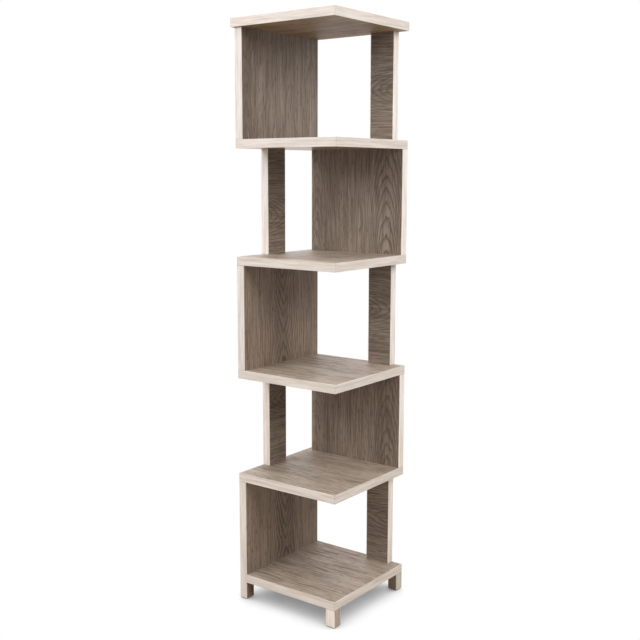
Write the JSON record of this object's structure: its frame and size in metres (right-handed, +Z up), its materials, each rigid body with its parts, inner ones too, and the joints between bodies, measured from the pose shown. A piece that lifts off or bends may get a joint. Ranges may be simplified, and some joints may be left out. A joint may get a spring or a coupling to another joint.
{
  "type": "spine bookshelf",
  "caption": "Tall open bookshelf of square shelves, carried in turn by wide side panels and wide back panels, each tier with a narrow post on its other closed side.",
  "frame": {"origin": "on the floor, under the middle of the top board", "axes": "+Z up, +Y to the back (the side with the wide back panels), +X to the right (the open side)"},
  "size_m": [0.358, 0.358, 1.688],
  "materials": {
    "oak_laminate_board": "matt weathered oak laminate on particle board",
    "oak_edge_band": "matt pale oak edge band",
    "beech_dowel": "raw beech",
    "zinc_plated_steel": "bright zinc plating",
    "zinc_casting": "die-cast zinc, as cast",
    "taupe_cap": "moulded, matt",
    "nylon_glide": "moulded, matt"
  },
  "bodies": {
    "root": {"back_panel_lower": "oak_laminate_board", "back_panel_lower_edge_band": "oak_edge_band", "back_panel_upper": "oak_laminate_board", "back_panel_upper_edge_band": "oak_edge_band", "back_post_lower": "oak_laminate_board", "back_post_lower_edge_band": "oak_edge_band", "back_post_middle": "oak_laminate_board", "back_post_middle_edge_band": "oak_edge_band", "back_post_upper": "oak_laminate_board", "back_post_upper_edge_band": "oak_edge_band", "back_right_leg": "oak_laminate_board", "back_right_leg_edge_band": "oak_edge_band", "bottom_shelf": "oak_laminate_board", "bottom_shelf_edge_band": "oak_edge_band", "cam_bolts": "zinc_plated_steel", "cam_caps": "taupe_cap", "cam_discs": "zinc_casting", "dowels": "beech_dowel", "floor_glides": "nylon_glide", "front_right_leg": "oak_laminate_board", "front_right_leg_edge_band": "oak_edge_band", "leg_bolts": "zinc_plated_steel", "shelf_1": "oak_laminate_board", "shelf_1_edge_band": "oak_edge_band", "shelf_2": "oak_laminate_board", "shelf_2_edge_band": "oak_edge_band", "shelf_3": "oak_laminate_board", "shelf_3_edge_band": "oak_edge_band", "shelf_4": "oak_laminate_board", "shelf_4_edge_band": "oak_edge_band", "side_panel_lower": "oak_laminate_board", "side_panel_lower_edge_band": "oak_edge_band", "side_panel_middle": "oak_laminate_board", "side_panel_middle_edge_band": "oak_edge_band", "side_panel_upper": "oak_laminate_board", "side_panel_upper_edge_band": "oak_edge_band", "side_post_lower": "oak_laminate_board", "side_post_lower_edge_band": "oak_edge_band", "side_post_upper": "oak_laminate_board", "side_post_upper_edge_band": "oak_edge_band", "top_board": "oak_laminate_board", "top_board_edge_band": "oak_edge_band"}
  },
  "joints": []
}
